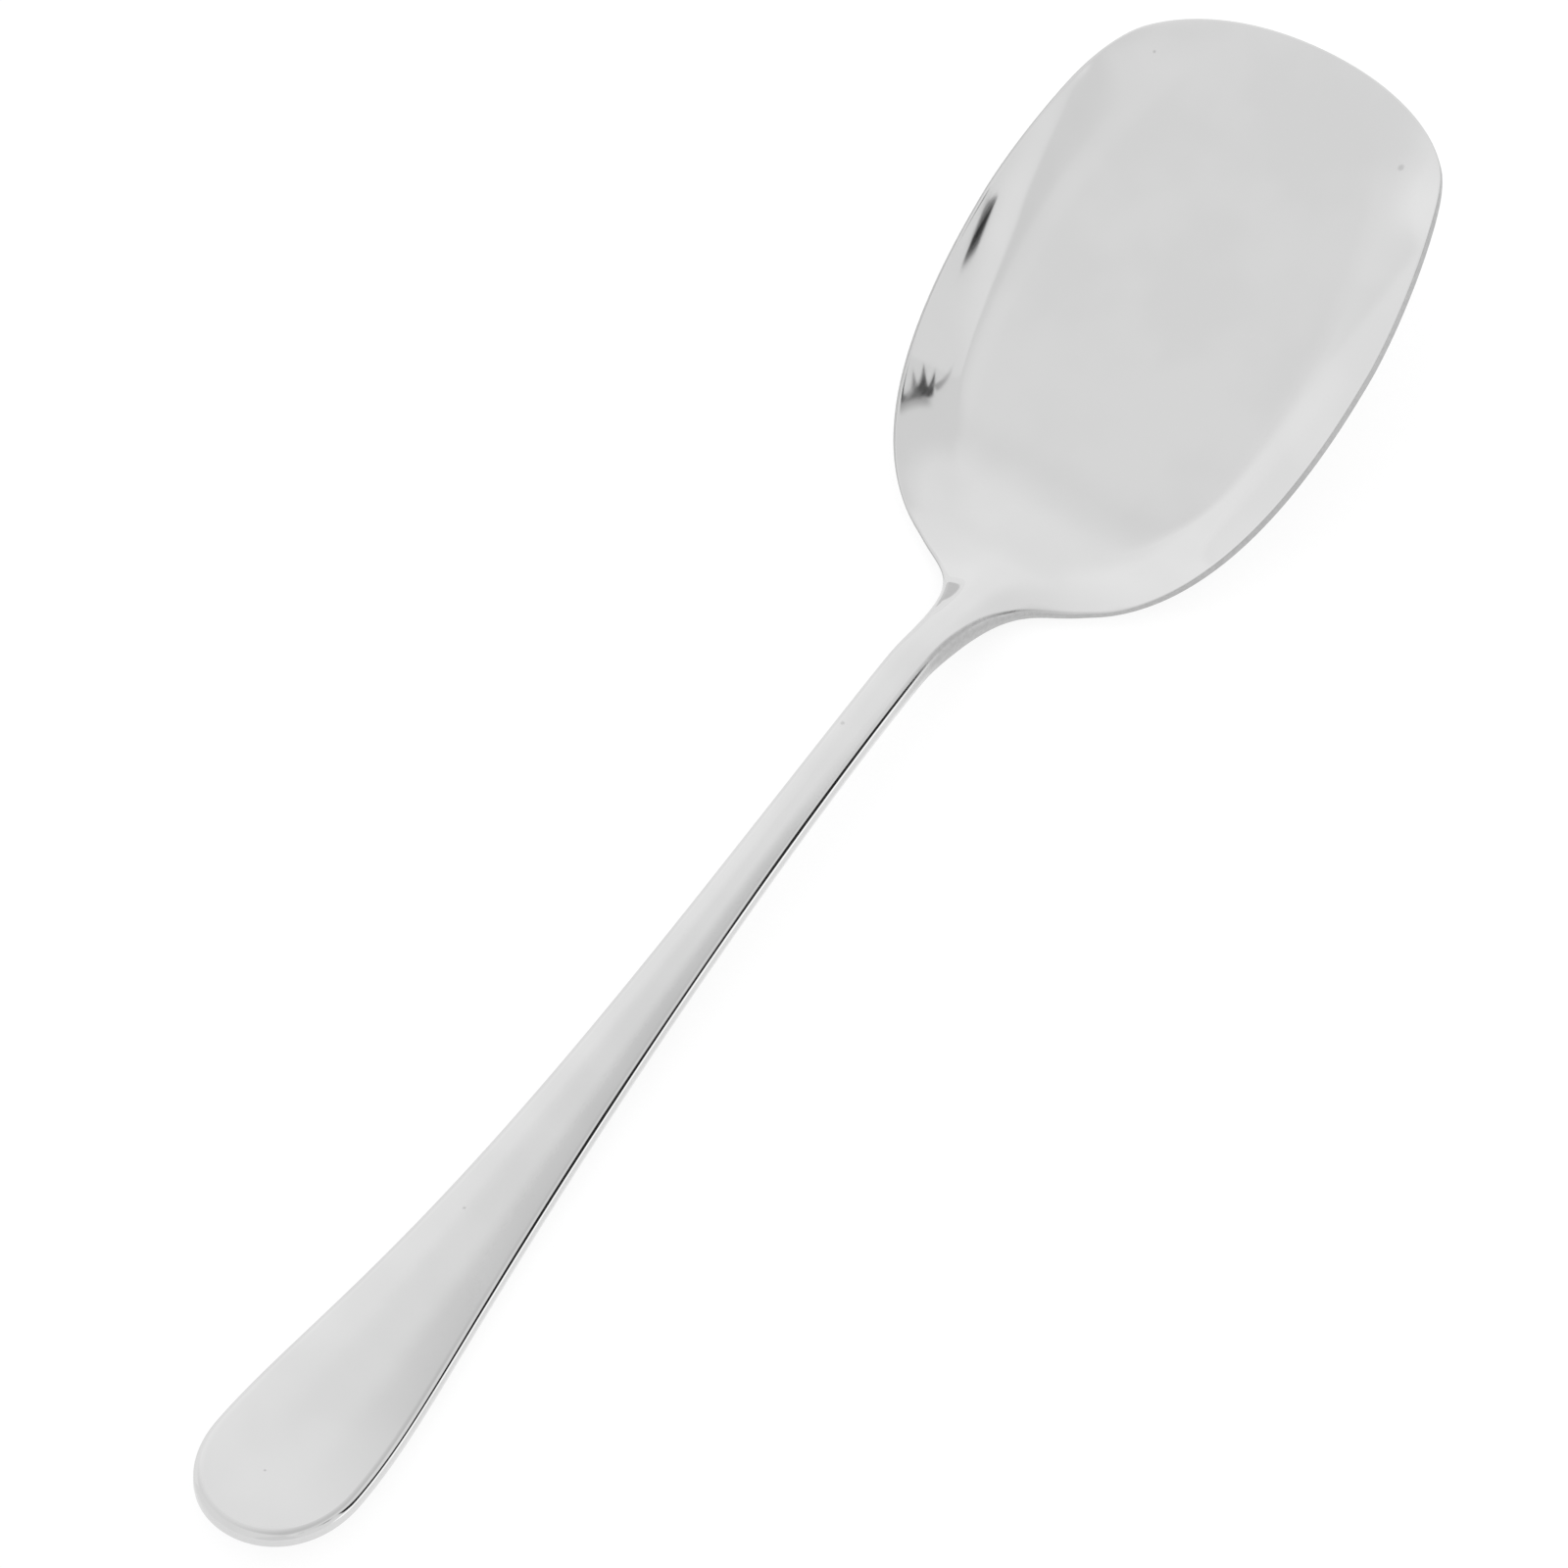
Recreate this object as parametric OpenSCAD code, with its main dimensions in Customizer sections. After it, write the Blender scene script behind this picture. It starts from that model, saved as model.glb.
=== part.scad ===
// Serving spatula, stamped from one blank of stainless steel.
// The blank is thick in the handle and rolled thin in the blade. The handle is cranked at
// the neck, and the blade is pressed into a shallow dish with an open front.
// The spatula lies as it rests on a table: on the belly of its handle and the heel of its
// blade. X runs from the handle to the front of the blade, Y across and Z up, and the origin
// is on the table, below the middle. All sizes are in millimetres.

/* [Handle] */
// Length of the handle, from its end to the waist, its narrowest place
handle_l = 148; // [110:0.5:190]
// Width of the handle's broad end
tail_w = 20.6; // [14:0.1:28]
// Length of the round at the handle's end
tail_round = 12.3; // [8:0.1:20]
// Thickness of the steel at the handle's end
tail_t = 2.4; // [1.6:0.1:3.2]
// Distance from the handle's end to the belly that it rests on
belly_x = 43; // [25:0.1:60]
// How far the tip of the handle sweeps up from its belly
tail_lift = 3.5; // [0.5:0.1:6]
// How far the middle of the handle stands above its edges at the belly; half that at the waist
camber = 0.6; // [0:0.1:1.2]
// How far in from the side the handle's edge starts to round over
handle_round = 1.2; // [0.4:0.1:2]

/* [Neck] */
// Width of the waist
waist_w = 5.4; // [4.5:0.1:9]
// Thickness of the steel at the waist
waist_t = 3.8; // [2.4:0.1:4.4]
// Height of the edges at the waist, the crest of the neck, to the middle of the steel
crest_h = 6.3; // [4.5:0.1:12]
// Length of the neck, from the waist to the hip, where the outline turns from hollow to full
neck_l = 23.5; // [18:0.5:35]
// Width of the hip
hip_w = 24.2; // [20:0.1:36]
// Angle of the outline to the long axis at the hip
hip_angle = 55.5; // [45:0.1:65]
// Length of each of the neck's two bends, at the crest and at the heel
neck_bend_l = 4.1; // [3:0.1:9]
// Distance from the waist to where the steel starts to thin
thinning_fore = 12; // [6:0.5:14]
// Length over which the steel thins to that of the blade
thinning_l = 15; // [12:0.5:20]

/* [Blade] */
// Length of the blade, from the hip to the front edge
blade_l = 78.5; // [60:0.5:110]
// Width of the blade at its widest
blade_w = 58.3; // [48:0.1:72]
// Distance from the front edge back to the widest place
widest_back = 36.7; // [30:0.1:48]
// Width across the middles of the two front corners
corner_w = 45.4; // [36:0.1:47]
// Distance from the front edge back to the middles of the front corners
corner_back = 8; // [5:0.1:12]
// Angle of the outline to the long axis at the middle of a front corner
corner_angle = 39.1; // [30:0.1:50]
// Thickness of the steel in the blade
blade_t = 1; // [0.8:0.1:1.6]
// How far in from the side the blade's edge starts to round over
blade_round = 0.25; // [0.1:0.05:0.4]

/* [Dish] */
// Pitch of the flat floor above the table
floor_pitch = 23; // [12:0.1:30]
// Distance from the hip to the heel, the lowest line of the floor
heel_fore = 5.5; // [3:0.1:10]
// Length of the bend from the heel up to the flat floor
heel_bend_l = 16; // [8:0.5:20]
// Distance from the hip to where the straight rim starts
rim_fore = 3.2; // [1:0.1:6]
// Depth of the dish below the rim at the heel
dish_depth = 2; // [0.8:0.1:4]
// Depth of the dish where the rim starts to run out to the front edge
mouth_depth = 3.8; // [2:0.1:7]
// Length over which the rim runs out to the front edge
rim_fade_l = 18.5; // [12:0.5:25]
// Width of the curved wall between the rim and the flat floor
wall_w = 11.5; // [8:0.1:16]

/* [Hidden] */
steel = [0.83, 0.83, 0.84];

// Places along the long axis, from the handle's end
hip_x = handle_l + neck_l;
total_l = hip_x + blade_l;
widest_x = total_l - widest_back;
corner_x = total_l - corner_back;
heel_x = hip_x + heel_fore;
floor_x = heel_x + heel_bend_l;
rim_x = hip_x + rim_fore;
fade_x = total_l - rim_fade_l;

// Flat at the middle of the handle's end and of the front edge
tip_flat = 1.2;
// Share of the edge's thickness that stays upright between its two rounds
handle_land = 0.3;
blade_land = 0.7;
// Share of the wall's width over which it bends up from the floor, and how many times as
// steep it is at the rim as at the end of that bend
wall_fillet = 0.45;
wall_flare = 1.35;
// Least share of the half width that the floor keeps, and how softly it comes to that
floor_least = 0.15;
floor_soft = 0.2;
// Smallest part of the outline's normal that is used across the blade
normal_least = 0.05;

// How far each end of an outline curve pulls along its own direction, as shares of its span
tail_pull = [0.55, 0.6];
taper_pull = [0.152, 0.728];
neck_pull = [0.883, 0.313];
side_pull = [0.095, 0.818];
brow_pull = [0.292, 0.206];
front_pull = [0.284, 0.449];

// Stations along each outline curve: tail, taper, neck, side, brow, front
curve_steps = [8, 16, 16, 16, 12, 10];
// Columns of half a section, from the edge in: the round, by angle, then the wall and the
// floor, by shares of their widths
round_angles = [0, 30, 60];
wall_shares = [1, 0.86, 0.7, 0.52, 0.34, 0.17, 0];
floor_shares = [0.5];

function unit(v) = v / norm(v);
function heading(angle) = [cos(angle), sin(angle)];
function mix(a, b, share) = a + (b - a) * share;
function ease(share) = share * share * (3 - 2 * share);
function clamp01(v) = max(0, min(1, v));
function smooth_max(a, b, soft) = (a + b + sqrt((a - b) * (a - b) + soft * soft)) / 2;

// A cubic curve through its first and last point, and its direction
function curve_point(c, t) =
    pow(1 - t, 3) * c[0] + 3 * pow(1 - t, 2) * t * c[1] + 3 * (1 - t) * t * t * c[2] + pow(t, 3) * c[3];
function curve_way(c, t) =
    pow(1 - t, 2) * (c[1] - c[0]) + 2 * (1 - t) * t * (c[2] - c[1]) + t * t * (c[3] - c[2]);

// Half of the outline in plan: six curves that meet in the same directions
tip = [0, tip_flat / 2];
tail = [tail_round, tail_w / 2];
waist = [handle_l, waist_w / 2];
hip = [hip_x, hip_w / 2];
widest = [widest_x, blade_w / 2];
corner = [corner_x, corner_w / 2];
front = [total_l, tip_flat / 2];
along = [1, 0];
hip_way = heading(hip_angle);
corner_way = heading(-corner_angle);
outline = [
    [tip, [0, tail_pull[0] * tail.y], tail - tail_pull[1] * tail.x * along, tail],
    [tail, tail + taper_pull[0] * (waist.x - tail.x) * along,
        waist - taper_pull[1] * (waist.x - tail.x) * along, waist],
    [waist, waist + neck_pull[0] * (hip.x - waist.x) * along,
        hip - neck_pull[1] * norm(hip - waist) * hip_way, hip],
    [hip, hip + side_pull[0] * norm(widest - hip) * hip_way,
        widest - side_pull[1] * (widest.x - hip.x) * along, widest],
    [widest, widest + brow_pull[0] * (corner.x - widest.x) * along,
        corner - brow_pull[1] * norm(corner - widest) * corner_way, corner],
    [corner, corner + front_pull[0] * norm(front - corner) * corner_way,
        [total_l, front_pull[1] * corner.y], front]
];

// A station is a point of the outline and the outline's outward normal there
function station(c, t) =
    let(way = unit(curve_way(c, t)))
    [curve_point(c, t), [-way.y, way.x]];
stations = [
    for (k = [0 : len(outline) - 1])
        for (s = [0 : curve_steps[k] - 1])
            station(outline[k], s / curve_steps[k]),
    station(outline[len(outline) - 1], 1)
];

// Thickness of the steel: it grows from the tail to the waist and thins into the blade
function thinning(x) = ease(clamp01((x - handle_l - thinning_fore) / thinning_l));
function handle_t(x) = mix(tail_t, waist_t, clamp01(x / handle_l));
function thickness(x) = mix(handle_t(x), blade_t, thinning(x));

// A side profile is a list of [x, height, slope], joined by cubic curves
function span_height(a, b, x) =
    let(l = b[0] - a[0], t = (x - a[0]) / l, e = ease(t))
    mix(a[1], b[1], e) + l * (t * (1 - t) * (1 - t) * a[2] - t * t * (1 - t) * b[2]);
function profile_height(profile, x, i = 0) =
    i < len(profile) - 2 && x > profile[i + 1][0]
        ? profile_height(profile, x, i + 1)
        : span_height(profile[i], profile[i + 1], x);

// Middle of the steel at the belly, the heel, the flat floor and the two ends
belly_h = thickness(belly_x) / 2 - camber / 3;
heel_h = thickness(heel_x) / 2;
floor_slope = tan(floor_pitch);
floor_h = heel_h + floor_slope * heel_bend_l / 2;
tail_end = [0, belly_h + tail_lift, -2 * tail_lift / belly_x];
front_end = [total_l, floor_h + floor_slope * (total_l - floor_x), floor_slope];

// Top of the steel along the centre line: tail, belly, crest, straight neck, heel and floor
function raised(knot) = knot + [0, thickness(knot[0]) / 2, 0];
crest_top = crest_h + (camber + waist_t) / 2;
heel_top = 2 * heel_h;
neck_slope = (heel_top - crest_top) / (heel_x - handle_l - neck_bend_l);
neck_drop = neck_slope * neck_bend_l / 2;
top_profile = [
    raised(tail_end),
    raised([belly_x, belly_h + camber, 0]),
    [handle_l, crest_top, 0],
    [handle_l + neck_bend_l, crest_top + neck_drop, neck_slope],
    [heel_x - neck_bend_l, heel_top - neck_drop, neck_slope],
    [heel_x, heel_top, 0],
    raised([floor_x, floor_h, floor_slope]),
    raised(front_end)
];
function centre_height(x) = profile_height(top_profile, x) - thickness(x) / 2;

// Middle of the steel along the edge: the handle, then the straight rim, which runs out to
// the front edge
fade_h = centre_height(fade_x) + mouth_depth;
rim_slope = (fade_h - heel_h - dish_depth) / (fade_x - heel_x);
edge_profile = [
    tail_end,
    [belly_x, belly_h, 0],
    [handle_l, crest_h, 0],
    [rim_x, fade_h - rim_slope * (fade_x - rim_x), rim_slope],
    [fade_x, fade_h, rim_slope],
    front_end
];

// Share of the half width at a station that the flat floor takes
function floor_share(s) =
    let(wall_share = wall_w / (s[0].y * max(s[1].y, normal_least)))
    smooth_max(1 - wall_share, floor_least, floor_soft);

// Rise of the wall, as a share of its height, at a share of its width
wall_slope = 2 / (wall_fillet + (1 - wall_fillet) * (1 + wall_flare));
function wall_rise(climb) =
    let(
        bend = climb / wall_fillet,
        over = climb - wall_fillet,
        bent = wall_fillet * (pow(bend, 3) - pow(bend, 4) / 2),
        flared = wall_fillet / 2 + over + (wall_flare - 1) * over * over / (1 - wall_fillet) / 2
    )
    wall_slope * (bend < 1 ? bent : flared);

// Point in the middle of the steel at a station, x along and y across
function middle(s, x, y) =
    let(
        flat = floor_share(s),
        climb = max(0, (y / s[0].y - flat) / (1 - flat)),
        low = centre_height(x),
        high = profile_height(edge_profile, x)
    )
    [x, y, low + (high - low) * wall_rise(climb)];

// Half a section from the edge in: the middle of the steel and half its thickness, by column
function half_section(s) =
    let(
        thin = thinning(s[0].x),
        half_t = thickness(s[0].x) / 2,
        round_in = mix(handle_round, blade_round, thin),
        land = mix(handle_land, blade_land, thin),
        inner = s[0] - round_in * s[1],
        flat = floor_share(s)
    )
    [
        for (a = round_angles)
            let(p = s[0] - round_in * (1 - cos(a)) * s[1])
            [middle(s, p.x, p.y), half_t * mix(land, 1, sin(a))],
        for (share = wall_shares)
            [middle(s, inner.x, inner.y * mix(flat, 1, share)), half_t],
        for (share = floor_shares)
            [middle(s, inner.x, inner.y * flat * share), half_t],
        [middle(s, inner.x, 0), half_t]
    ];

// A whole section runs from the right edge to the left one
function mirrored(p) = [p.x, -p.y, p.z];
function section(s) =
    let(half = half_section(s), last = len(half) - 1)
    concat(
        [for (column = half) [mirrored(column[0]), column[1]]],
        [for (c = [last - 1 : -1 : 0]) half[c]]
    );
sections = [for (s = stations) section(s)];
rows = len(sections);
columns = len(sections[0]);

// The skins lie half the thickness above and below the middle, along its normal
function middle_at(r, c) = sections[max(0, min(rows - 1, r))][max(0, min(columns - 1, c))][0];
function normal_at(r, c) =
    unit(cross(middle_at(r + 1, c) - middle_at(r - 1, c), middle_at(r, c + 1) - middle_at(r, c - 1)));
function skin(side) = [
    for (r = [0 : rows - 1])
        for (c = [0 : columns - 1])
            sections[r][c][0] + side * sections[r][c][1] * normal_at(r, c)
];
skins = concat(skin(1), skin(-1));

// Where the table and the middle of the length lie
ground = min([for (p = skins) p.z]);
middle_x = (min([for (p = skins) p.x]) + max([for (p = skins) p.x])) / 2;

// Indices of the skins' points, and a quad as two triangles that mirror about the middle
function up(r, c) = r * columns + c;
function down(r, c) = rows * columns + up(r, c);
function quad(a, b, c, d, turned) = turned ? [[b, c, d], [b, d, a]] : [[a, b, c], [a, c, d]];
left = columns - 1;
middle_column = left / 2;
rounds = len(round_angles);

// Faces that close the first or the last section, strip by strip across its rounds
function end_face(r, order) =
    let(
        faces = [
            for (c = [0 : rounds - 2])
                each [
                    [up(r, left - c), up(r, left - c - 1), up(r, c + 1), up(r, c)],
                    [down(r, c), down(r, c + 1), down(r, left - c - 1), down(r, left - c)]
                ],
            [for (c = [left - rounds + 1 : -1 : rounds - 1]) up(r, c)],
            [for (c = [rounds - 1 : left - rounds + 1]) down(r, c)],
            [up(r, left), up(r, 0), down(r, 0), down(r, left)]
        ]
    )
    [for (f = faces) order > 0 ? f : [for (k = [len(f) - 1 : -1 : 0]) f[k]]];

spatula_faces = concat(
    [
        for (r = [0 : rows - 2])
            for (c = [0 : columns - 2])
                each concat(
                    quad(up(r, c), up(r, c + 1), up(r + 1, c + 1), up(r + 1, c), c < middle_column),
                    quad(down(r, c), down(r + 1, c), down(r + 1, c + 1), down(r, c + 1), c >= middle_column)
                )
    ],
    [
        for (r = [0 : rows - 2])
            each concat(
                quad(up(r, 0), up(r + 1, 0), down(r + 1, 0), down(r, 0), true),
                quad(up(r, left), down(r, left), down(r + 1, left), up(r + 1, left), false)
            )
    ],
    end_face(0, 1),
    end_face(rows - 1, -1)
);

// The whole spatula, one piece of steel
module spatula() {
    color(steel)
        translate([-middle_x, 0, -ground])
            polyhedron(points = skins, faces = spatula_faces);
}

spatula();
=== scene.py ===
# %% [markdown]
# # A serving spatula of polished stainless steel
# The real object is one piece of steel. A blank is cut from a strip, rolled thin where the
# blade will be, trimmed to its outline, pressed between dies into a shallow scoop with a
# cranked neck, and then buffed until it is nearly a mirror.
# This lesson follows the same order: the outline, the blank, the pressing, the thickness,
# the buffed finish, and then a light tent such as is used to photograph cutlery.
# A mirror shows every wobble, so nothing is moved by eye: the sizes are the ones that the CAD
# source uses, in millimetres, and X runs from the handle's end to the front of the blade.
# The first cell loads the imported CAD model, which is the fixed frame for everything else.

# %% Load the frame
import math

import bmesh
import bpy
import numpy as np
from mathutils import Matrix, Vector


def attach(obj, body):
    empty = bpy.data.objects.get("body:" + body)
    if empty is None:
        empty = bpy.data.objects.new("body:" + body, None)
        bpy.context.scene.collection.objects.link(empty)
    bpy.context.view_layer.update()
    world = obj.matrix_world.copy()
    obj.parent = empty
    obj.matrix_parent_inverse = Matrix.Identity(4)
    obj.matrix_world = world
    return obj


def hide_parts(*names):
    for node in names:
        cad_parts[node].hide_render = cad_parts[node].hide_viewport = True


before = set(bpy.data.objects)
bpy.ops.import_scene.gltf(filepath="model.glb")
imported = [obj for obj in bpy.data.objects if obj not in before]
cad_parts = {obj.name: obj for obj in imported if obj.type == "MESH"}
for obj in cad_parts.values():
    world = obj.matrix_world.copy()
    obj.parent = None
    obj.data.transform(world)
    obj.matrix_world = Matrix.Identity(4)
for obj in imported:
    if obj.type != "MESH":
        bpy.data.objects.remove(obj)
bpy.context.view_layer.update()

# %% [markdown]
# ## The outline
# On the real spatula, a trimming die cuts the whole outline in one stroke. It could be drawn
# with Blender's pen. Here half of it is written down as six cubic curves of the kind that the
# pen draws, each with two ends and two handles, so that it can be measured anywhere.
# Neighbours share a direction where they meet, so the outline has no kink.

# %% Sizes of the outline
HANDLE_L = 148        # from the handle's end to the waist, its narrowest place
TAIL_W = 20.6         # width of the handle's broad end
TAIL_ROUND = 12.3     # length of the round at the handle's end
WAIST_W = 5.4
NECK_L = 23.5         # from the waist to the hip, where the outline turns from hollow to full
HIP_W = 24.2
HIP_ANGLE = 55.5      # of the outline to the long axis, in degrees
BLADE_L = 78.5        # from the hip to the front edge
BLADE_W = 58.3
WIDEST_BACK = 36.7    # from the front edge back to the widest place
CORNER_W = 45.4       # across the middles of the two front corners
CORNER_BACK = 8       # from the front edge back to the middles of the corners
CORNER_ANGLE = 39.1   # of the outline to the long axis, in degrees
HIP_X = HANDLE_L + NECK_L
TOTAL_L = HIP_X + BLADE_L
print("overall length", TOTAL_L, "mm")

# %% Six curves of half the outline


def heading(degrees):
    """A step of length one in a direction in plan."""
    return np.array([math.cos(math.radians(degrees)), math.sin(math.radians(degrees))])


def pulled(start, end, way_start, way_end, pull_start, pull_end):
    """A cubic curve whose handles reach along their directions by given lengths."""
    return np.array([start, start + pull_start * way_start, end - pull_end * way_end, end])


def apart(start, end):
    return np.linalg.norm(end - start)


tip = np.array([0.0, 0.0])
tail = np.array([TAIL_ROUND, TAIL_W / 2])
waist = np.array([HANDLE_L, WAIST_W / 2])
hip = np.array([HIP_X, HIP_W / 2])
widest = np.array([TOTAL_L - WIDEST_BACK, BLADE_W / 2])
corner = np.array([TOTAL_L - CORNER_BACK, CORNER_W / 2])
front = np.array([TOTAL_L, 0.0])
along, across = heading(0), heading(90)
hip_way, corner_way = heading(HIP_ANGLE), heading(-CORNER_ANGLE)

# Each handle's length is a share of the curve's length, of its width or of the way between its
# ends. Long handles make a slow curve, and short ones a quick turn
taper_l, neck_l = (waist - tail)[0], (hip - waist)[0]
side_l, brow_l = (widest - hip)[0], (corner - widest)[0]
OUTLINE = [
    pulled(tip, tail, across, along, 0.55 * tail[1], 0.6 * tail[0]),
    pulled(tail, waist, along, along, 0.152 * taper_l, 0.728 * taper_l),
    pulled(waist, hip, along, hip_way, 0.883 * neck_l, 0.313 * apart(waist, hip)),
    pulled(hip, widest, hip_way, along, 0.095 * apart(hip, widest), 0.818 * side_l),
    pulled(widest, corner, along, corner_way, 0.292 * brow_l, 0.206 * apart(widest, corner)),
    pulled(corner, front, corner_way, -across, 0.284 * apart(corner, front), 0.449 * corner[1]),
]
print("outline of", len(OUTLINE), "curves a side")

# %% [markdown]
# ## Points on the outline
# The next steps ask how wide the spatula is at some place, and which way its edge faces there.
# A curve object could be made into a mesh and searched, but the curves' own formula gives both
# exactly. A finely stepped copy answers the question for any place along the length.

# %% Points and normals along the outline
FINE_STEPS = 400


def edge_at(curve, t):
    """Points of one outline curve, and the outline's outward normals there."""
    t = np.asarray(t, float)[:, None]
    a, b, c, d = OUTLINE[curve]
    point = (1 - t) ** 3 * a + 3 * (1 - t) ** 2 * t * b + 3 * (1 - t) * t ** 2 * c + t ** 3 * d
    way = (1 - t) ** 2 * (b - a) + 2 * (1 - t) * t * (c - b) + t ** 2 * (d - c)
    way /= np.linalg.norm(way, axis=1)[:, None]
    return point, np.stack([-way[:, 1], way[:, 0]], 1)


LAST = len(OUTLINE) - 1
fine = [edge_at(curve, np.linspace(0, 1, FINE_STEPS, endpoint=curve == LAST))
        for curve in range(len(OUTLINE))]
fine_points = np.concatenate([points for points, normals in fine])
fine_normals = np.concatenate([normals for points, normals in fine])
print("widest place", round(fine_points[:, 1].max() * 2, 2), "mm")

# %% [markdown]
# ## The steel's thickness
# The strip is rolled thin only where the blade will be, so the steel grows from the handle's
# end to the waist and then thins into the blade. One thickness all over would be simpler, but
# the edge of the neck shows the change plainly. An eased step makes it without a ridge.

# %% Thickness along the spatula
TAIL_T, WAIST_T, BLADE_T = 2.4, 3.8, 1
THINNING_FORE = 12    # from the waist to where the steel starts to thin
THINNING_L = 15       # length over which it thins


def ease(share):
    share = np.clip(share, 0, 1)
    return share * share * (3 - 2 * share)


def thinning(x):
    """0 in the handle and 1 in the blade."""
    return ease((x - HANDLE_L - THINNING_FORE) / THINNING_L)


def thickness(x):
    handle = TAIL_T + (WAIST_T - TAIL_T) * np.clip(x / HANDLE_L, 0, 1)
    return handle + (BLADE_T - handle) * thinning(x)


print("steel at the hip", round(float(thickness(HIP_X)), 2), "mm")

# %% [markdown]
# ## The line along the middle
# Seen from the side, the top of the steel sweeps down from the tip to the belly that the handle
# rests on, rises to the crest at the waist, drops to the heel, bends and runs up the flat floor.
# This could be drawn as a curve object. Here it is a list of knots, each with a place, a height
# and a slope, because then the height is known at any place.

# %% The side view along the middle
BELLY_X = 43          # from the handle's end to the belly
TAIL_LIFT = 3.5       # how far the tip sweeps up from the belly
CAMBER = 0.6          # how far the handle's middle stands above its edges; half at the waist
CREST_H = 6.3         # height of the edges at the waist
NECK_BEND_L = 4.1     # length of each of the neck's two bends
FLOOR_PITCH = 23      # of the flat floor above the table, in degrees
HEEL_FORE = 5.5       # from the hip to the heel, the lowest line of the floor
HEEL_BEND_L = 16      # length of the bend from the heel up to the flat floor
HEEL_X = HIP_X + HEEL_FORE
FLOOR_X = HEEL_X + HEEL_BEND_L


def profile_height(knots, x):
    """Height on a line through knots of x, height and slope, joined by cubic curves."""
    knots = np.asarray(knots, float)
    x = np.clip(x, knots[0, 0], knots[-1, 0])
    span = np.clip(np.searchsorted(knots[:, 0], x) - 1, 0, len(knots) - 2)
    (x0, z0, s0), (x1, z1, s1) = knots[span].T, knots[span + 1].T
    length = x1 - x0
    t = (x - x0) / length
    return z0 + (z1 - z0) * ease(t) + length * (t * (1 - t) ** 2 * s0 - t ** 2 * (1 - t) * s1)


def raised(knot):
    """A knot in the middle of the steel, moved up to its top."""
    return [knot[0], knot[1] + thickness(knot[0]) / 2, knot[2]]


belly_h = thickness(BELLY_X) / 2 - CAMBER / 3
heel_h = thickness(HEEL_X) / 2
floor_slope = math.tan(math.radians(FLOOR_PITCH))
floor_h = heel_h + floor_slope * HEEL_BEND_L / 2
TAIL_END = [0, belly_h + TAIL_LIFT, -2 * TAIL_LIFT / BELLY_X]
FRONT_END = [TOTAL_L, floor_h + floor_slope * (TOTAL_L - FLOOR_X), floor_slope]

crest_top, heel_top = CREST_H + (CAMBER + WAIST_T) / 2, 2 * heel_h
neck_slope = (heel_top - crest_top) / (HEEL_X - HANDLE_L - NECK_BEND_L)
neck_drop = neck_slope * NECK_BEND_L / 2
TOP_LINE = [
    raised(TAIL_END),
    raised([BELLY_X, belly_h + CAMBER, 0]),
    [HANDLE_L, crest_top, 0],
    [HANDLE_L + NECK_BEND_L, crest_top + neck_drop, neck_slope],
    [HEEL_X - NECK_BEND_L, heel_top - neck_drop, neck_slope],
    [HEEL_X, heel_top, 0],
    raised([FLOOR_X, floor_h, floor_slope]),
    raised(FRONT_END),
]


def centre_height(x):
    """Height of the middle of the steel, along the spatula's middle."""
    return profile_height(TOP_LINE, x) - thickness(x) / 2


print("front edge", round(FRONT_END[1], 2), "mm above the table")

# %% [markdown]
# ## The rim
# The second line is the edge, seen from the side and taken in the middle of the steel. It runs
# with the handle to the crest. Beside the blade, it is a straight rim that stands above the
# floor and fades into the open front edge. Knots serve for it too, and the depth of the dish
# comes from the difference between the two lines.

# %% The side view along the rim
RIM_FORE = 3.2        # from the hip to where the straight rim starts
DISH_DEPTH = 2        # below the rim, at the heel
MOUTH_DEPTH = 3.8     # below the rim, where the rim starts to fade
RIM_FADE_L = 18.5     # length over which the rim fades into the front edge
RIM_X = HIP_X + RIM_FORE
FADE_X = TOTAL_L - RIM_FADE_L

fade_h = float(centre_height(FADE_X)) + MOUTH_DEPTH
rim_slope = (fade_h - heel_h - DISH_DEPTH) / (FADE_X - HEEL_X)
rim_h = fade_h - rim_slope * (FADE_X - RIM_X)
RIM_LINE = [
    TAIL_END,
    [BELLY_X, belly_h, 0],
    [HANDLE_L, CREST_H, 0],
    [RIM_X, rim_h, rim_slope],
    [FADE_X, fade_h, rim_slope],
    FRONT_END,
]
print("rim starts", round(rim_h, 2), "mm above the table")

# %% [markdown]
# ## The dish
# Across the blade, the press leaves the floor flat and bends the wall up out of it, and the wall
# flares a little more on its way to the rim. Sculpting could give that shape, but it leaves
# waves that a mirror shows at once. So the climb from floor to rim is a formula too: a bend that
# starts softly, and then a slope that slowly grows.

# %% Height of the steel at any place in plan
WALL_W = 11.5         # width of the wall between the rim and the flat floor
WALL_FILLET = 0.45    # share of that width over which the wall bends up
WALL_FLARE = 1.35     # how many times as steep it is at the rim as after the bend
FLOOR_LEAST = 0.15    # least share of the half width that the floor keeps
FLOOR_SOFT = 0.2      # how softly the floor comes to that share
HALF_W_LEAST = 1e-3   # stands in for a half width of nothing at the two ends
FACING_LEAST = 0.05   # smallest part of the edge's normal that is used across the blade
CLIMB_MOST = 1.02     # a point of the border may lie a hair outside the stepped outline

wall_slope = 2 / (WALL_FILLET + (1 - WALL_FILLET) * (1 + WALL_FLARE))


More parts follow.
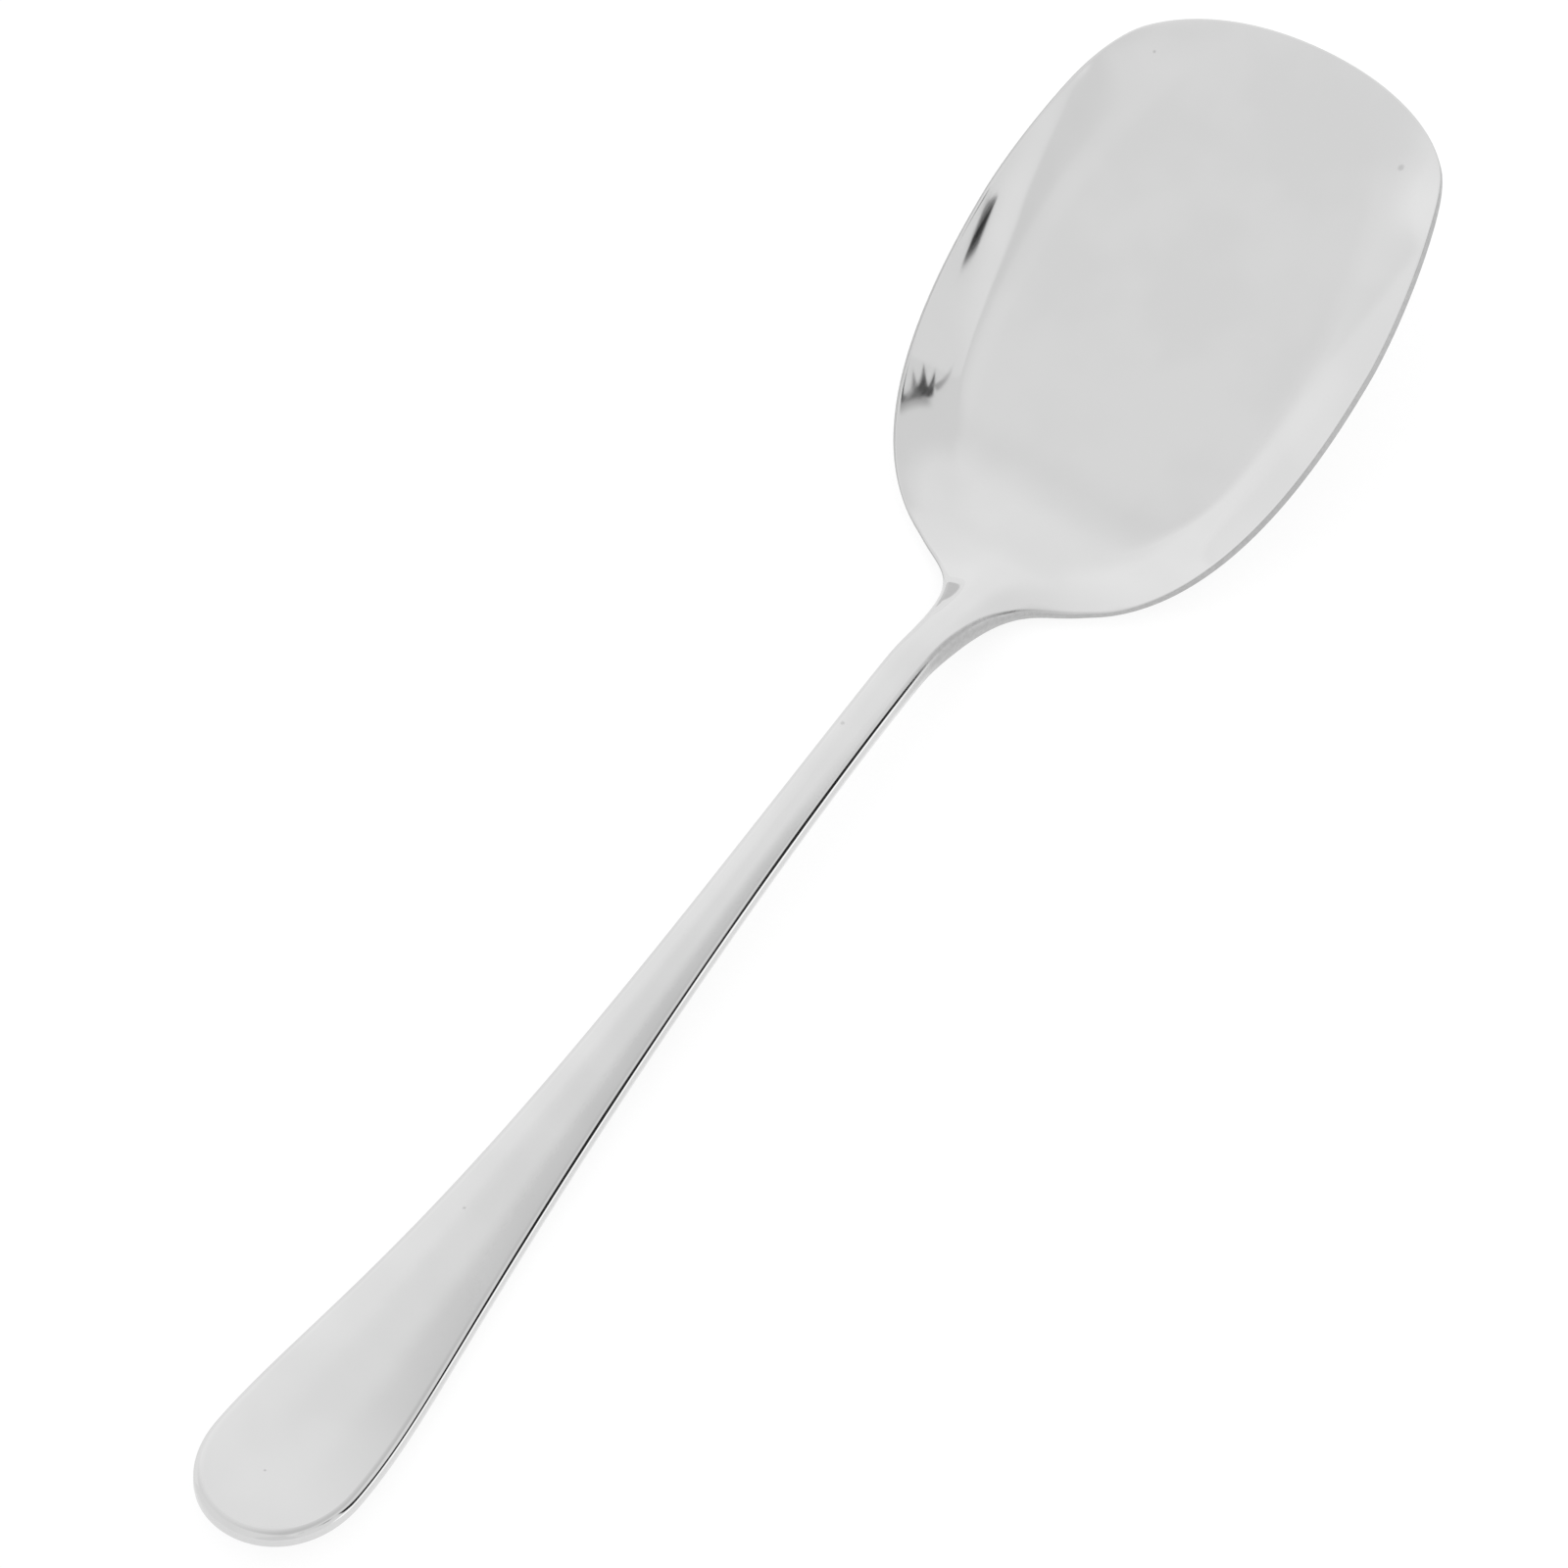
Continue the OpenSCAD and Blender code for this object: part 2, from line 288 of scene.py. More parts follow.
def steel_height(x, y):
    """Height of the middle of the steel at a place in plan."""
    half_w = np.maximum(np.interp(x, fine_points[:, 0], fine_points[:, 1]), HALF_W_LEAST)
    facing = np.maximum(np.interp(x, fine_points[:, 0], fine_normals[:, 1]), FACING_LEAST)
    spare = 1 - WALL_W / (half_w * facing)
    flat = (spare + FLOOR_LEAST + np.sqrt((spare - FLOOR_LEAST) ** 2 + FLOOR_SOFT ** 2)) / 2
    climb = np.clip((np.abs(y) / half_w - flat) / (1 - flat), 0, CLIMB_MOST)
    low = centre_height(x)
    bend, over = np.minimum(climb / WALL_FILLET, 1), climb - WALL_FILLET
    bent = WALL_FILLET * (bend ** 3 - bend ** 4 / 2)
    flared = WALL_FILLET / 2 + over + (WALL_FLARE - 1) * over ** 2 / (1 - WALL_FILLET) / 2
    rise = wall_slope * np.where(climb < WALL_FILLET, bent, flared)
    return low + (profile_height(RIM_LINE, x) - low) * rise


depth = steel_height(widest[0], widest[1]) - steel_height(widest[0], 0)
print("dish", round(float(depth), 2), "mm deep at its widest place")

# %% [markdown]
# ## The border of the blank
# The blank has four sides here: the two long edges, the handle's end and the front. They meet on
# the round of the handle's end and at the front corners, where the outline turns most. The
# outline itself could be the border, but a margin is left inside it for the rounded edge: wide
# on the handle, and narrow on the thin blade.

# %% Four borders
HANDLE_ROUND, BLADE_ROUND = 1.2, 0.25     # widths of the rounded edge
ROWS_PER_CURVE = [10, 40, 28, 28, 20]
ROWS = sum(ROWS_PER_CURVE)
COLUMNS = 48
TAIL_SPLIT = 0.5      # share of the first curve that belongs to the handle's end
# Columns crowd towards the border, because a mirror shows any wobble of the surface there
EVEN_SHARE = 0.2
even = np.linspace(-1, 1, COLUMNS + 1)
SPREAD = EVEN_SHARE * even + (1 - EVEN_SHARE) * np.sin(math.pi / 2 * even)


def side_border():
    """The left border from the tail's corner to the blade's front corner."""
    parts = []
    for curve, count in enumerate(ROWS_PER_CURVE):
        start = TAIL_SPLIT if curve == 0 else 0.0
        t = start + (1 - start) * np.arange(count) / count
        parts.append(edge_at(curve, t))
    parts.append(edge_at(LAST - 1, [1.0]))
    return [np.concatenate(column) for column in zip(*parts)]


def end_border(curve, at_middle, at_corner):
    """A border across the handle's end or the front, from the right corner to the left one."""
    points, normals = edge_at(curve, at_middle + (at_corner - at_middle) * np.abs(SPREAD))
    flip = np.where(np.arange(COLUMNS + 1) < COLUMNS / 2, -1, 1)
    points[:, 1] *= flip
    normals[:, 1] *= flip
    return points, normals


def inset(points, normals, share):
    """The border moved in by a share of the rounded edge's width."""
    width = HANDLE_ROUND + (BLADE_ROUND - HANDLE_ROUND) * thinning(points[:, 0])
    return points - (share * width)[:, None] * normals


left_points, left_normals = side_border()
mirror = np.array([1, -1])
right_points, right_normals = left_points * mirror, left_normals * mirror
tail_points, tail_normals = end_border(0, 0.0, TAIL_SPLIT)
front_points, front_normals = end_border(LAST, 1.0, 0.0)
print("borders of", len(left_points), "and", len(tail_points), "points")

# %% [markdown]
# ## The blank
# A grid is the natural start for sheet metal: rows across, columns along. One flat face cut to
# the outline would do too, but once it is bent, its long triangles show as creases in a mirror.
# The rows near both ends swing round to follow the end borders, so no face is pinched.

# %% A grid laid out inside the borders
TAIL_SWING, FRONT_SWING = 16, 40          # rows that swing round at each end
left_in, right_in = inset(left_points, left_normals, 1), inset(right_points, right_normals, 1)
tail_in, front_in = inset(tail_points, tail_normals, 1), inset(front_points, front_normals, 1)
share_across = (SPREAD[None, :, None] + 1) / 2
layout = right_in[:, None] * (1 - share_across) + left_in[:, None] * share_across
row = np.arange(ROWS + 1)
tail_pull = np.clip(1 - row / TAIL_SWING, 0, 1) ** 2
front_pull = np.clip(1 - (ROWS - row) / FRONT_SWING, 0, 1) ** 2
layout = (layout + tail_pull[:, None, None] * (tail_in - layout[0])[None]
          + front_pull[:, None, None] * (front_in - layout[-1])[None])

bpy.ops.object.select_all(action="DESELECT")
bpy.ops.mesh.primitive_grid_add(x_subdivisions=ROWS, y_subdivisions=COLUMNS, size=1)
spatula = bpy.context.object
spatula.name = "polished_spatula"
grid = np.empty(3 * len(spatula.data.vertices))
spatula.data.vertices.foreach_get("co", grid)
grid = grid.reshape(-1, 3)
rows = np.rint((grid[:, 0] + 0.5) * ROWS).astype(int)
columns = np.rint((grid[:, 1] + 0.5) * COLUMNS).astype(int)
plan = layout[rows, columns]
spatula.data.vertices.foreach_set("co", np.c_[plan, np.zeros(len(plan))].ravel())
print("blank of", ROWS, "by", COLUMNS, "faces")

# %% [markdown]
# ## The rounded edge
# The trimmed edge is rounded over, so that it doesn't cut the hand. A bevel could do that once
# the thickness is there, but its width has to change along the neck. So the border is extruded
# outwards, loop after loop, as with the E key. The loops lie closer together towards the
# outline, by the cosine of equal angles, so that they describe a round.
# An integer attribute on the border's points is copied by each extrusion, which tells every
# new point where on the outline it belongs. A second one counts the loops.

# %% Number the border
edge_points = np.concatenate([tail_points, left_points[1:], front_points[-2::-1],
                              right_points[-2:0:-1]])
edge_normals = np.concatenate([tail_normals, left_normals[1:], front_normals[-2::-1],
                               right_normals[-2:0:-1]])
loop_rows = np.concatenate([np.zeros(COLUMNS + 1, int), np.arange(1, ROWS + 1),
                            np.full(COLUMNS, ROWS), np.arange(ROWS - 1, 0, -1)])
loop_columns = np.concatenate([np.arange(COLUMNS + 1), np.full(ROWS, COLUMNS),
                               np.arange(COLUMNS - 1, -1, -1), np.zeros(ROWS - 1, int)])
place_on_loop = np.full((ROWS + 1, COLUMNS + 1), -1)
place_on_loop[loop_rows, loop_columns] = np.arange(len(edge_points))

border = spatula.data.attributes.new("border", "INT", "POINT")
border.data.foreach_set("value", place_on_loop[rows, columns].astype(np.int32))
ring = spatula.data.attributes.new("ring", "INT", "POINT")
ring.data.foreach_set("value", np.full(len(rows), -1, np.int32))
print("border of", len(edge_points), "points")

# %% Extrude the loops
ROUND_ANGLES = np.radians([75, 60, 45, 30, 15, 0])
bpy.ops.object.mode_set(mode="EDIT")
bpy.ops.mesh.select_mode(type="EDGE")
bpy.ops.mesh.select_all(action="SELECT")
bpy.ops.mesh.region_to_loop()
for number, angle in enumerate(ROUND_ANGLES):
    bpy.ops.mesh.extrude_edges_move()
    mesh = bmesh.from_edit_mesh(spatula.data)
    border_layer = mesh.verts.layers.int["border"]
    ring_layer = mesh.verts.layers.int["ring"]
    loop = inset(edge_points, edge_normals, 1 - math.cos(angle))
    for vertex in mesh.verts:
        if vertex.select:
            vertex[ring_layer] = number
            vertex.co.xy = loop[vertex[border_layer]]
    bmesh.update_edit_mesh(spatula.data)
bpy.ops.object.mode_set(mode="OBJECT")
print("edge loops:", len(ROUND_ANGLES))

# %% [markdown]
# ## Pressing
# The press lifts the flat blank to its shape in one stroke. A lattice or a shrinkwrap could bend
# it, but every point of the blank knows its place in plan, so its height is simply worked out.

# %% Press the blank
MM = 0.001
count = len(spatula.data.vertices)
flat_points = np.empty(3 * count)
spatula.data.vertices.foreach_get("co", flat_points)
flat_points = flat_points.reshape(-1, 3)
x, y = flat_points[:, 0], flat_points[:, 1]
pressed = np.stack([x, y, steel_height(x, y)], 1) * MM
spatula.data.vertices.foreach_set("co", pressed.ravel())
print("pressed", count, "points, up to", round(pressed[:, 2].max() / MM, 2), "mm")

# %% [markdown]
# ## The ground edge, and painted shade on the neck
# The buffing wheel doesn't reach the trimmed edge of the neck and the blade, so it keeps the grey
# of the grinding belt. A second material on those faces would end in a hard line. An attribute on
# the loops of the border fades in and out instead, and the finish reads it.
# Along the blade only the outer loops are ground. On the right side of the neck, where the steel
# is thick, the whole round is grey: partly the ground finish, and partly painted shade, because
# that side of the neck lies in shade.

# %% Mark the ground edge and the painted shade of the neck
GROUND_START, GROUND_FADE = HANDLE_L - 4, 8       # it fades in just before the waist
NECK_END, NECK_FADE = HANDLE_L + 28, 12           # and narrows to the outer loops on the blade
OUTER_LOOP = 3                                    # number of the first of those
rings = np.empty(count, np.int32)
spatula.data.attributes["ring"].data.foreach_get("value", rings)
# Right side of the neck only: there the grey is painted shade as well as the ground finish
neck_only = ease((NECK_END - x) / NECK_FADE) * (y < 0)
on_loops = np.where(rings < 0, 0.0, np.where(rings < OUTER_LOOP, neck_only, 1.0))
ground_and_shade = ease((x - GROUND_START) / GROUND_FADE) * on_loops
spatula.data.attributes.new("ground_edge_and_shade", "FLOAT", "POINT").data.foreach_set("value", ground_and_shade)
print("ground edge on", int((ground_and_shade > 0).sum()), "points")

# %% [markdown]
# ## Thickness
# Solidify gives the sheet its thickness on both sides of its middle. Extruding would need a
# second skin to be shaped by hand. A vertex group scales the thickness from place to place:
# thick at the waist, thin in the blade, and less on the loops of the border, which rounds the
# edge. A share of the edge, the land, stays upright between the two rounds.
# One level of subdivision makes the faces small enough for clean reflections.

# %% Give the sheet its thickness
HANDLE_LAND, BLADE_LAND = 0.3, 0.7
land = HANDLE_LAND + (BLADE_LAND - HANDLE_LAND) * thinning(x)
fullness = np.where(rings < 0, 1.0, np.sin(np.append(ROUND_ANGLES, 0.0)[rings]))
share_of_waist = thickness(x) * (land + (1 - land) * fullness) / WAIST_T
gauge = spatula.vertex_groups.new(name="steel_thickness")
for index, share in enumerate(share_of_waist):
    gauge.add([index], float(share), "REPLACE")
spatula.data.update()

solidify = spatula.modifiers.new("thickness", "SOLIDIFY")
solidify.thickness = WAIST_T * MM
solidify.offset = 0
solidify.vertex_group = "steel_thickness"
subdivide = spatula.modifiers.new("smooth", "SUBSURF")
subdivide.levels = subdivide.render_levels = 1
bpy.context.view_layer.objects.active = spatula
bpy.ops.object.modifier_apply(modifier="thickness")
bpy.ops.object.modifier_apply(modifier="smooth")
bpy.ops.object.shade_smooth()
print("spatula:", len(spatula.data.polygons), "faces")

# %% [markdown]
# ## Its place on the table
# The frame has its origin on the table, below the middle of the spatula. The object could be
# moved there, but a finished piece keeps its object at the origin and its place in its mesh, so
# the mesh is moved.

# %% Put it in its place
corners = np.array(spatula.bound_box)
middle_x = (corners[:, 0].min() + corners[:, 0].max()) / 2
spatula.data.transform(Matrix.Translation((-middle_x, 0, -corners[:, 2].min())))
print("its middle was at", round(middle_x / MM, 3), "mm")

# %% [markdown]
# ## Tools for the finishes
# Materials are built from nodes, as in the shader editor. Written out, each node takes about five
# lines, so one small function makes, sets and links a node of any kind. Colours are written as
# the eye sees them, in sRGB, and another function turns them into linear light.

# %% Colours and nodes


def linear(code):
    """A colour written as an sRGB hex code, in linear light."""
    values = [int(code[i:i + 2], 16) / 255 for i in (1, 3, 5)]
    return [v / 12.92 if v <= 0.04045 else ((v + 0.055) / 1.055) ** 2.4 for v in values] + [1.0]


def add_node(tree, kind, inputs=None, **settings):
    """Adds a node, sets its options, and fills or links its inputs."""
    node = tree.nodes.new(kind)
    for name, value in settings.items():
        setattr(node, name, value)
    for name, value in (inputs or {}).items():
        socket = node.inputs[name]
        if isinstance(value, bpy.types.NodeSocket):
            tree.links.new(value, socket)
        else:
            socket.default_value = value
    return node


def between(value, start, end, low=0.0, high=1.0):
    """What a step of a value from one level to another needs, for a Map Range node."""
    return {"Value": value, "From Min": start, "From Max": end, "To Min": low, "To Max": high}


def empty_material(name):
    """A material that holds no nodes yet, and its node tree."""
    material = bpy.data.materials.new(name)
    material.use_nodes = True
    material.node_tree.nodes.clear()
    return material, material.node_tree


SOFT = {"interpolation_type": "SMOOTHSTEP"}
NOISE_LOW, NOISE_HIGH = 0.35, 0.65        # most of a noise lies between these
WHITE = linear("#FFFFFF")
print("white is", WHITE)

# %% [markdown]
# ## Buffed stainless steel
# A buffing wheel leaves stainless steel nearly a mirror. It is a metal with a neutral grey
# colour, because steel sends back about two thirds of the light. One value for the colour and
# one for the gloss would do, but then the steel looks too clean. So a thin, patchy film from
# handling dulls the colour by about one part in thirty, and the streaks of the wheel change the
# gloss a little.

# %% Film and buffing streaks
steel, tree = empty_material("buffed_stainless_steel")
place = add_node(tree, "ShaderNodeTexCoord").outputs["Object"]

# Patches of film: the eye reads them as faint clouds on the flat floor
FILM_SIZE = 14 * MM
film = add_node(tree, "ShaderNodeTexNoise",
                {"Vector": place, "Scale": 1 / FILM_SIZE, "Detail": 2.0}).outputs["Fac"]
patches = add_node(tree, "ShaderNodeMapRange", between(film, NOISE_LOW, NOISE_HIGH),
                   **SOFT).outputs[0]
filmed = add_node(tree, "ShaderNodeMix",
                  {"Factor": patches, 6: linear("#D7D7D7"), 7: linear("#D4D4D4")},
                  data_type="RGBA").outputs[2]

# Buffing streaks are finer than 0.1 mm. Drawn 0.5 mm wide, they show as a slight change of gloss
# along the spatula
STREAK_L, STREAK_W = 30 * MM, 0.5 * MM
STREAK_LOW, STREAK_HIGH = 0.3, 0.7        # of the noise: a wide range, so that no streak is hard
BRIGHT_GLOSS, DULL_GLOSS = 0.04, 0.065
stretched = add_node(tree, "ShaderNodeVectorMath",
                     {0: place, 1: (1 / STREAK_L, 1 / STREAK_W, 1 / STREAK_L)},
                     operation="MULTIPLY").outputs[0]
streaks = add_node(tree, "ShaderNodeTexNoise",
                   {"Vector": stretched, "Scale": 1.0, "Detail": 1.0}).outputs["Fac"]
gloss = add_node(tree, "ShaderNodeMapRange",
                 between(streaks, STREAK_LOW, STREAK_HIGH, BRIGHT_GLOSS, DULL_GLOSS),
                 **SOFT).outputs[0]
print("film in patches of", FILM_SIZE / MM, "mm, streaks of", STREAK_L / MM, "mm")

# %% [markdown]
# ## Pits
# The steel has a few small pits. They could be dents in the mesh, but they are hardly larger than
# its faces. Each is a round spot in the finish instead, darker and rougher than the rest.

# %% A few pits
# Place along and across, and width, in millimetres: dark specks that break the gloss. Each fades
# in from its rim to a quarter of its radius
PITS = [(115.2, -17.8, 1.2), (-72.1, 2.6, 0.6), (-115.8, 1.1, 0.5), (10.9, 1.5, 0.8),
        (115.0, 19.4, 0.6)]
PIT_STRENGTH = 0.25
in_plan = add_node(tree, "ShaderNodeVectorMath", {0: place, 1: (1, 1, 0)},
                   operation="MULTIPLY").outputs[0]
pitted = 0.0
for pit_x, pit_y, width in PITS:
    away = add_node(tree, "ShaderNodeVectorMath", {0: in_plan, 1: (pit_x * MM, pit_y * MM, 0)},
                    operation="DISTANCE").outputs["Value"]
    pit = add_node(tree, "ShaderNodeMapRange",
                   between(away, width / 2 * MM, width / 8 * MM, 0.0, PIT_STRENGTH),
                   **SOFT).outputs[0]
    pitted = add_node(tree, "ShaderNodeMath", {0: pitted, 1: pit}, operation="MAXIMUM").outputs[0]
speckled = add_node(tree, "ShaderNodeMix", {"Factor": pitted, 6: filmed, 7: linear("#6A6A6A")},
                    data_type="RGBA").outputs[2]
print("steel has", len(PITS), "pits")

# %% [markdown]
# ## The ground edge's finish, and painted shade on the neck
# Ground steel is darker and duller than buffed steel, because its fine scratches scatter the
# light. It could be a material of its own, but then it couldn't fade into the polish. The
# attribute on the border mixes it in, broken up a little by the marks of the grit. On the right
# side of the neck the same grey is also painted shade. With its finish on, the piece takes the
# place of the CAD solid in the picture.

# %% Ground edge and painted shade, and the whole finish
# Grinding marks of about 0.6 mm: with them, the edge is a thin grey line that isn't quite even
GRIT_SIZE = 0.6 * MM
GRIT_LEAST = 0.88     # share of the ground finish that is left between the marks
GROUND_DULLNESS = 0.3
grit = add_node(tree, "ShaderNodeTexNoise",
                {"Vector": place, "Scale": 1 / GRIT_SIZE, "Detail": 1.0}).outputs["Fac"]
uneven = add_node(tree, "ShaderNodeMapRange",
                  between(grit, NOISE_LOW, NOISE_HIGH, GRIT_LEAST, 1.0), **SOFT).outputs[0]
marked = add_node(tree, "ShaderNodeAttribute", attribute_name="ground_edge_and_shade").outputs["Fac"]
ground_and_shaded = add_node(tree, "ShaderNodeMath", {0: marked, 1: uneven}, operation="MULTIPLY").outputs[0]
# Grey #B2B2B2: the ground edge's own grey, and on the right side of the neck painted shade too
colour = add_node(tree, "ShaderNodeMix", {"Factor": ground_and_shaded, 6: speckled, 7: linear("#B2B2B2")},
                  data_type="RGBA").outputs[2]
dulled = add_node(tree, "ShaderNodeMath", {0: ground_and_shaded, 1: GROUND_DULLNESS, 2: gloss},
                  operation="MULTIPLY_ADD").outputs[0]
roughness = add_node(tree, "ShaderNodeMath", {0: dulled, 1: pitted}, operation="ADD").outputs[0]
shader = add_node(tree, "ShaderNodeBsdfPrincipled",
                  {"Base Color": colour, "Metallic": 1.0, "Roughness": roughness})
add_node(tree, "ShaderNodeOutputMaterial", {"Surface": shader.outputs["BSDF"]})
spatula.data.materials.clear()
spatula.data.materials.append(steel)
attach(spatula, "root")
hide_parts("spatula")
print("steel:", len(tree.nodes), "nodes")

# %% [markdown]
# ## The paper
# Cutlery is laid on white paper that runs out of sight. It could be lit until it is white, but
# that light would wash out the steel. So most of its white is a glow of its own, which also makes
# it even. The rest is diffuse, and keeps the faint shadow where the spatula rests.

# %% White paper
PAPER_SIZE, PAPER_DROP = 8, 0.0002        # metres; it lies just under the steel
PAPER_GLOW = 0.8
bpy.ops.object.select_all(action="DESELECT")
bpy.ops.mesh.primitive_plane_add(size=PAPER_SIZE, location=(0, 0, -PAPER_DROP))
floor = bpy.context.object
floor.name = "floor"
# Matt paper: an even white without any shine
paper, tree = empty_material("white_paper")
diffuse = add_node(tree, "ShaderNodeBsdfDiffuse", {"Color": linear("#898989")})
glow = add_node(tree, "ShaderNodeEmission", {"Color": WHITE, "Strength": PAPER_GLOW})
both = add_node(tree, "ShaderNodeAddShader", {0: diffuse.outputs[0], 1: glow.outputs[0]})
add_node(tree, "ShaderNodeOutputMaterial", {"Surface": both.outputs[0]})
floor.data.materials.append(paper)
print("paper of", round(floor.dimensions.x), "m")

# %% [markdown]
# ## The reflector
# A large round reflector of white cloth hangs over the far side of the blade, 37 cm above the
# table. It is near, so the blade's right wall and heel see it and the handle does not: that is
# the bright crescent round the floor. A lamp would do, but the steel would show its hard border.
# The cloth has a soft one, and it is a little brighter towards the left.

# %% A round white reflector
REFLECTOR_R, REFLECTOR_SOFT = 0.63, 0.13
REFLECTOR_PLACE = (0.705, 0.38, 0.37)
REFLECTOR_POINTS = 96
REFLECTOR_OUTER = REFLECTOR_R + REFLECTOR_SOFT / 2
REFLECTOR_INNER = REFLECTOR_R - REFLECTOR_SOFT / 2
# Where across the cloth its brightness starts and stops growing, and the two levels
GRADE_START, GRADE_END, GRADE_LOW, GRADE_HIGH = -0.6, 0.1, 1.0, 1.13


def light_inside(tree, inside, strength):
    """A surface that glows inside a border and can't be seen outside it."""
    clear = add_node(tree, "ShaderNodeBsdfTransparent")
    lit = add_node(tree, "ShaderNodeEmission", {"Color": WHITE, "Strength": strength})
    mixed = add_node(tree, "ShaderNodeMixShader",
                     {0: inside, 1: clear.outputs[0], 2: lit.outputs[0]})
    add_node(tree, "ShaderNodeOutputMaterial", {"Surface": mixed.outputs[0]})


bpy.ops.object.select_all(action="DESELECT")
bpy.ops.mesh.primitive_circle_add(vertices=REFLECTOR_POINTS, radius=REFLECTOR_OUTER,
                                  fill_type="NGON", location=REFLECTOR_PLACE)
reflector = bpy.context.object
reflector.name = "reflector"
# Lit cloth: a soft glow, without threads at this distance
cloth, tree = empty_material("lit_white_cloth")
spot = add_node(tree, "ShaderNodeTexCoord").outputs["Object"]
from_middle = add_node(tree, "ShaderNodeVectorMath", {0: spot}, operation="LENGTH").outputs["Value"]
inside = add_node(tree, "ShaderNodeMapRange",
                  between(from_middle, REFLECTOR_OUTER, REFLECTOR_INNER), **SOFT).outputs[0]
sideways = add_node(tree, "ShaderNodeSeparateXYZ", {0: spot}).outputs["Y"]
graded = add_node(tree, "ShaderNodeMapRange",
                  between(sideways, GRADE_START, GRADE_END, GRADE_LOW, GRADE_HIGH),
                  **SOFT).outputs[0]
light_inside(tree, inside, graded)
reflector.data.materials.append(cloth)
print("reflector", round(2 * REFLECTOR_R, 2), "m across")

# %% [markdown]
# ## The flag
# A photographer holds a narrow grey card, a flag, over one side of a flat handle. It dims that
# side towards the edge, so that the handle looks rounded. It could be a patch of the tent, but
# that is far away and the whole spatula would see it. The flag hangs 8 cm above the handle, with
# soft borders, and only the steel sees it, not the camera.

# %% A grey flag over the handle
FLAG_SIZE = (0.18, 0.08)
FLAG_PLACE = (-0.045, 0.004, 0.08)
FLAG_GREY = 0.74
# Sides: direction, where the card is not yet there, and where it is there in full
FLAG_SIDES = [("Y", 0.030, -0.024), ("Y", -0.037, -0.031), ("X", -0.09, -0.07), ("X", 0.09, 0.06)]
bpy.ops.object.select_all(action="DESELECT")
bpy.ops.mesh.primitive_plane_add(size=1, location=FLAG_PLACE)
flag = bpy.context.object
flag.name = "flag"
flag.scale = (*FLAG_SIZE, 1)
bpy.ops.object.transform_apply(location=False, rotation=False, scale=True)
# Grey card: an even, dim patch
grey_card, tree = empty_material("grey_card")
spot = add_node(tree, "ShaderNodeTexCoord").outputs["Object"]
parts = add_node(tree, "ShaderNodeSeparateXYZ", {0: spot})
seen = add_node(tree, "ShaderNodeLightPath").outputs["Is Camera Ray"]
inside = add_node(tree, "ShaderNodeMath", {0: 1.0, 1: seen}, operation="SUBTRACT").outputs[0]
for axis, start, end in FLAG_SIDES:
    side = add_node(tree, "ShaderNodeMapRange", between(parts.outputs[axis], start, end),
                    **SOFT).outputs[0]
    inside = add_node(tree, "ShaderNodeMath", {0: inside, 1: side},
                      operation="MULTIPLY").outputs[0]
light_inside(tree, inside, FLAG_GREY)
flag.data.materials.append(grey_card)
print("flag of", FLAG_SIZE, "m")

# %% [markdown]
# ## The light tent
# A mirror shows nothing but its surroundings, so a tent of white cloth stands round the
# spatula. It could be a mesh, but its far walls only matter by their direction, so it is drawn
# in the world, on a chart of directions. Straight up is the middle of the chart, and the
# distance from the middle is the angle from straight up, in degrees.

# %% A chart of directions
world = bpy.data.worlds.new("light_tent")
bpy.context.scene.world = world
world.use_nodes = True
tree = world.node_tree
tree.nodes.clear()
way = add_node(tree, "ShaderNodeTexCoord").outputs["Generated"]
upward = add_node(tree, "ShaderNodeSeparateXYZ", {0: way}).outputs["Z"]
from_zenith = add_node(tree, "ShaderNodeMath", {0: upward}, operation="ARCCOSINE").outputs[0]
degrees = add_node(tree, "ShaderNodeMath", {0: from_zenith, 1: 180 / math.pi},
                   operation="MULTIPLY").outputs[0]
level = add_node(tree, "ShaderNodeVectorMath", {0: way, 1: (1, 1, 0)},
                 operation="MULTIPLY").outputs[0]
unit_level = add_node(tree, "ShaderNodeVectorMath", {0: level}, operation="NORMALIZE").outputs[0]
chart = add_node(tree, "ShaderNodeVectorMath", {0: unit_level, "Scale": degrees},
                 operation="SCALE").outputs[0]
print("chart of", len(tree.nodes), "nodes")

# %% [markdown]
# ## The cloth of the tent
# Slow ramps make the cloth lighter or darker to one side, as daylight does. Patches with straight
# sides are the seams, the folds and the openings, which draw the fine lines that tell the eye
# that the steel is polished. A painted picture could hold all that, but a few straight sides are
# sharp at any size and easy to move.

# %% Ramps and patches
CLOTH_LIGHT = 0.98
FOLD_SOFT = 0.4       # degrees over which a fold's long sides go from dark to light
# Ramps: heading, where it starts and ends, and the change of brightness
RAMPS = [(0, -8, 4, -0.03), (0, 12, 20, 0.035), (0, 36, 46, 0.07), (90, 20, 36, 0.02)]


def wedge(tip_x, tip_y, turn, spread, length):
    """Sides of a pointed patch: two that pass through its tip, and a softer one that closes it."""
    ends = ((turn + spread + 90, 0, FOLD_SOFT), (turn - spread - 90, 0, FOLD_SOFT),
            (turn, length, 4 * FOLD_SOFT))
    return [(side, float(heading(side) @ (tip_x, tip_y)) + end, soft) for side, end, soft in ends]


# Patches: brightness, then sides as heading, distance from the middle and softness
right_side = (1.075, [(197, -16.8, 3), (270, -58, 14)])
light_band = (0.995, [(90, 10, 14), (270, 12, 14), (0, 0, 16)])
dim_side = (0.90, [(90, -2, 22), (180, -6, 14), (0, 36, 16)])
grey_corner = (0.90, [(144, -13.4, 2), (90, -12, 10), (0, 12, 8)])
seam_shade = (0.90, [(90, -21, 10), (0, 4, 8)])
panel = (0.965, [(36.6, -12.64, 0.8), (106, -24.1, 0.8), (160, 5.3, 1.2)])
panel_glow = (1.06, [(36.6, -12.9, 6), (106, -24.4, 2), (0, -1, 10), (270, 34, 8), (180, 12, 8)])
